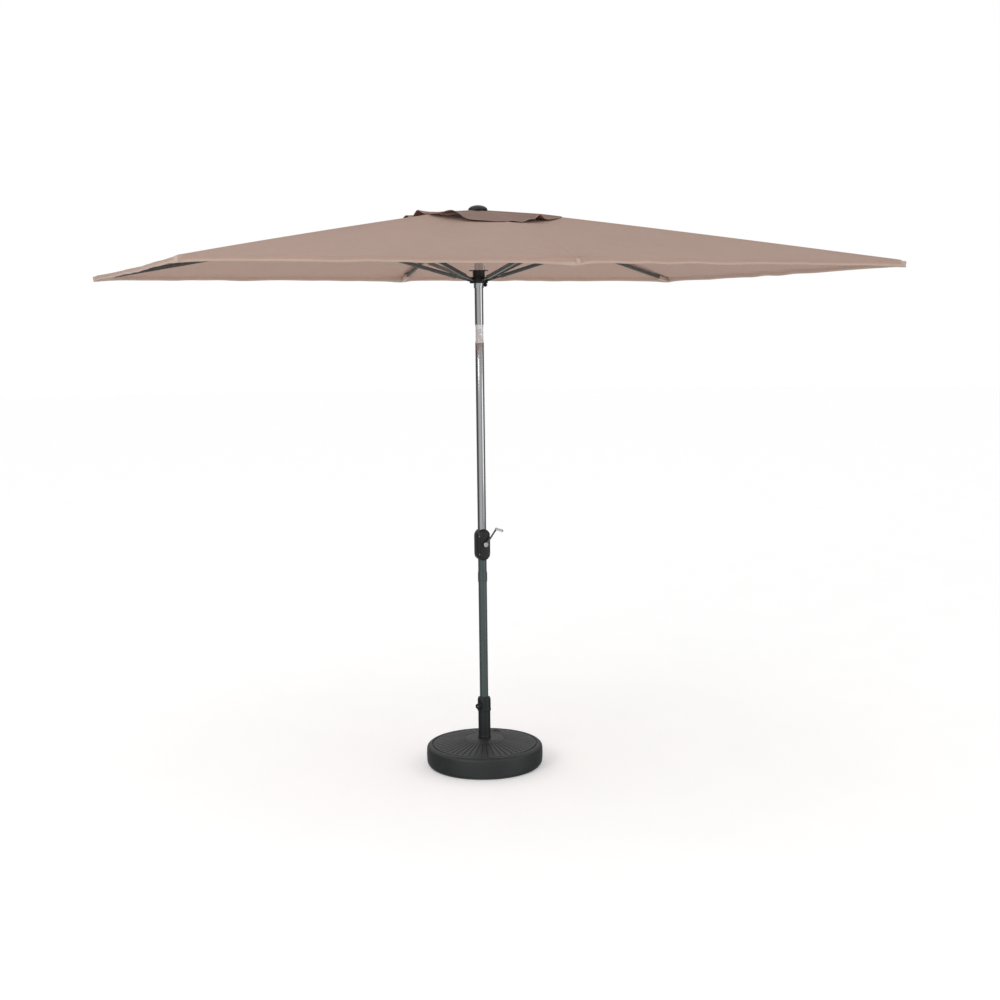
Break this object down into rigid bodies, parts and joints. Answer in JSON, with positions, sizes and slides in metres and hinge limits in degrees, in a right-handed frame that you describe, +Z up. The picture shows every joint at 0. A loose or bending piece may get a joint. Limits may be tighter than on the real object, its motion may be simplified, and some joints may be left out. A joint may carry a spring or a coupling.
{
  "type": "patio umbrella",
  "caption": "Rectangular market umbrella on a tilting, crank-lifted mast with folding ribs, a vented canopy and a round fillable base.",
  "frame": {"origin": "on the floor under the mast axis, at the middle of the base", "axes": "+Z up along the mast; +X along the long side of the canopy; +Y along its short side, with the crank facing -Y"},
  "size_m": [3.0038, 2.0076, 2.49],
  "materials": {
    "base_plastic": "matte",
    "ballast_fill": "matte",
    "socket_plastic": "satin",
    "black_plastic": "satin",
    "bright_steel": "satin",
    "mast_paint": "satin",
    "mast_metal": "gloss",
    "housing_plastic": "satin",
    "white_plastic": "satin",
    "grip_plastic": "satin",
    "tilt_metal": "polished",
    "cord": "matte",
    "canopy_fabric": "matte",
    "rib_paint": "satin"
  },
  "bodies": {
    "base": {"base_shell": "base_plastic", "ballast": "ballast_fill", "socket_tube": "socket_plastic", "reducer_sleeve": "black_plastic", "locking_collar": "socket_plastic"},
    "filler_cap": {"filler_cap": "black_plastic"},
    "lock_screw": {"lock_screw": "bright_steel"},
    "lock_knob": {"lock_knob": "black_plastic"},
    "mast": {"lower_pole": "mast_paint", "pole_coupling": "mast_paint", "middle_pole": "mast_metal", "crank_front_shell": "housing_plastic", "crank_rear_shell": "housing_plastic", "crank_screws": "bright_steel", "tilt_fork": "tilt_metal", "tilt_pin": "bright_steel", "button_spring": "bright_steel", "cord_inner": "cord"},
    "crank": {"crank_axle": "bright_steel", "cord_spool": "white_plastic", "crank_arm": "bright_steel"},
    "crank_grip": {"crank_grip": "grip_plastic"},
    "tilt_button": {"tilt_button": "tilt_metal"},
    "upper_mast": {"tilt_knuckle": "tilt_metal", "upper_pole": "mast_metal", "top_hub": "black_plastic", "hub_pins": "bright_steel", "finial": "black_plastic", "pulley_pin": "bright_steel", "cord_upper": "cord", "cord_lift": "cord", "canopy": "canopy_fabric", "vent_cap": "canopy_fabric"},
    "cord_pulley": {"cord_pulley": "white_plastic"},
    "runner": {"runner": "black_plastic", "cord_stop": "black_plastic"},
    "rib_near_left": {"rib_near_left": "rib_paint", "bracket_near_left": "bright_steel", "tip_cap_near_left": "black_plastic"},
    "strut_near_left": {"strut_near_left": "rib_paint"},
    "rib_near_middle": {"rib_near_middle": "rib_paint", "bracket_near_middle": "bright_steel", "tip_cap_near_middle": "black_plastic"},
    "strut_near_middle": {"strut_near_middle": "rib_paint"},
    "rib_near_right": {"rib_near_right": "rib_paint", "bracket_near_right": "bright_steel", "tip_cap_near_right": "black_plastic"},
    "strut_near_right": {"strut_near_right": "rib_paint"},
    "rib_far_right": {"rib_far_right": "rib_paint", "bracket_far_right": "bright_steel", "tip_cap_far_right": "black_plastic"},
    "strut_far_right": {"strut_far_right": "rib_paint"},
    "rib_far_middle": {"rib_far_middle": "rib_paint", "bracket_far_middle": "bright_steel", "tip_cap_far_middle": "black_plastic"},
    "strut_far_middle": {"strut_far_middle": "rib_paint"},
    "rib_far_left": {"rib_far_left": "rib_paint", "bracket_far_left": "bright_steel", "tip_cap_far_left": "black_plastic"},
    "strut_far_left": {"strut_far_left": "rib_paint"}
  },
  "joints": [
    {"name": "mast_turn", "type": "hinge", "parent": "base", "child": "mast", "pos_m": [0, 0, 0.2], "axis": [0, 0, 1], "continuous": true},
    {"name": "runner_slide", "type": "slide", "parent": "upper_mast", "child": "runner", "axis": [0, 0, -1], "range_m": [0, 0.9677], "deforming": ["canopy", "vent_cap", "cord_lift"]},
    {"name": "rib_near_left_fold", "type": "hinge", "parent": "upper_mast", "child": "rib_near_left", "pos_m": [-0.03162, -0.02108, 2.452], "axis": [0.5547, -0.8321, 0], "range_deg": [0, 78]},
    {"name": "strut_near_left_fold", "type": "hinge", "parent": "rib_near_left", "child": "strut_near_left", "pos_m": [-0.54021, -0.36014, 2.34648], "axis": [0.5547, -0.8321, 0], "range_deg": [-149.68, 0]},
    {"name": "rib_near_middle_fold", "type": "hinge", "parent": "upper_mast", "child": "rib_near_middle", "pos_m": [0, -0.038, 2.452], "axis": [1, 0, 0], "range_deg": [0, 71.6]},
    {"name": "strut_near_middle_fold", "type": "hinge", "parent": "rib_near_middle", "child": "strut_near_middle", "pos_m": [0, -0.64939, 2.27397], "axis": [1, 0, 0], "range_deg": [-149.7, 0]},
    {"name": "rib_near_right_fold", "type": "hinge", "parent": "upper_mast", "child": "rib_near_right", "pos_m": [0.03162, -0.02108, 2.452], "axis": [0.5547, 0.8321, 0], "range_deg": [0, 78]},
    {"name": "strut_near_right_fold", "type": "hinge", "parent": "rib_near_right", "child": "strut_near_right", "pos_m": [0.54021, -0.36014, 2.34648], "axis": [0.5547, 0.8321, 0], "range_deg": [-149.68, 0]},
    {"name": "rib_far_right_fold", "type": "hinge", "parent": "upper_mast", "child": "rib_far_right", "pos_m": [0.03162, 0.02108, 2.452], "axis": [-0.5547, 0.8321, 0], "range_deg": [0, 78]},
    {"name": "strut_far_right_fold", "type": "hinge", "parent": "rib_far_right", "child": "strut_far_right", "pos_m": [0.54021, 0.36014, 2.34648], "axis": [-0.5547, 0.8321, 0], "range_deg": [-149.68, 0]},
    {"name": "rib_far_middle_fold", "type": "hinge", "parent": "upper_mast", "child": "rib_far_middle", "pos_m": [0, 0.038, 2.452], "axis": [-1, 0, 0], "range_deg": [0, 71.6]},
    {"name": "strut_far_middle_fold", "type": "hinge", "parent": "rib_far_middle", "child": "strut_far_middle", "pos_m": [0, 0.64939, 2.27397], "axis": [-1, 0, 0], "range_deg": [-149.7, 0]},
    {"name": "rib_far_left_fold", "type": "hinge", "parent": "upper_mast", "child": "rib_far_left", "pos_m": [-0.03162, 0.02108, 2.452], "axis": [-0.5547, -0.8321, 0], "range_deg": [0, 78]},
    {"name": "strut_far_left_fold", "type": "hinge", "parent": "rib_far_left", "child": "strut_far_left", "pos_m": [-0.54021, 0.36014, 2.34648], "axis": [-0.5547, -0.8321, 0], "range_deg": [-149.68, 0]},
    {"name": "crank_turn", "type": "hinge", "parent": "mast", "child": "crank", "pos_m": [0, -0.05, 1.008], "axis": [0, -1, 0], "range_deg": [0, 4621.43]},
    {"name": "pulley_spin", "type": "hinge", "parent": "upper_mast", "child": "cord_pulley", "pos_m": [0.0205, 0, 2.418], "axis": [0, 1, 0], "range_deg": [0, 6523.96]},
    {"name": "crank_grip_spin", "type": "hinge", "parent": "crank", "child": "crank_grip", "pos_m": [0.04937, -0.09, 1.07596], "axis": [0, 1, 0], "continuous": true},
    {"name": "tilt_pivot", "type": "hinge", "parent": "mast", "child": "upper_mast", "pos_m": [0, 0, 1.937], "axis": [0, 1, 0], "range_deg": [-38, 0], "deforming": ["cord_inner"]},
    {"name": "tilt_button_push", "type": "slide", "parent": "mast", "child": "tilt_button", "axis": [0, 1, 0], "range_m": [0, 0.003], "stiffness_N_per_m": 600, "springref_m": -0.002, "deforming": ["button_spring"]},
    {"name": "lock_screw_travel", "type": "slide", "parent": "base", "child": "lock_screw", "axis": [-0.848, -0.5299, 0], "range_m": [0, 0.0045]},
    {"name": "lock_knob_turn", "type": "hinge", "parent": "lock_screw", "child": "lock_knob", "pos_m": [-0.03223, -0.02014, 0.275], "axis": [-0.848, -0.5299, 0], "range_deg": [0, 1081]},
    {"name": "filler_cap_lift", "type": "slide", "parent": "base", "child": "filler_cap", "axis": [0, 0, 1], "range_m": [0, 0.03]}
  ],
  "couplings": [
    {"joint": "rib_near_left_fold", "follows": "runner_slide", "rad_per_m": 1.4059},
    {"joint": "strut_near_left_fold", "follows": "runner_slide", "rad_per_m": -2.6987},
    {"joint": "rib_near_middle_fold", "follows": "runner_slide", "rad_per_m": 1.2905},
    {"joint": "strut_near_middle_fold", "follows": "runner_slide", "rad_per_m": -2.699},
    {"joint": "rib_near_right_fold", "follows": "runner_slide", "rad_per_m": 1.4059},
    {"joint": "strut_near_right_fold", "follows": "runner_slide", "rad_per_m": -2.6987},
    {"joint": "rib_far_right_fold", "follows": "runner_slide", "rad_per_m": 1.4059},
    {"joint": "strut_far_right_fold", "follows": "runner_slide", "rad_per_m": -2.6987},
    {"joint": "rib_far_middle_fold", "follows": "runner_slide", "rad_per_m": 1.2905},
    {"joint": "strut_far_middle_fold", "follows": "runner_slide", "rad_per_m": -2.699},
    {"joint": "rib_far_left_fold", "follows": "runner_slide", "rad_per_m": 1.4059},
    {"joint": "strut_far_left_fold", "follows": "runner_slide", "rad_per_m": -2.6987},
    {"joint": "crank_turn", "follows": "runner_slide", "rad_per_m": 83.333},
    {"joint": "pulley_spin", "follows": "runner_slide", "rad_per_m": 117.65},
    {"joint": "lock_knob_turn", "follows": "lock_screw_travel", "rad_per_m": 4188.8}
  ]
}
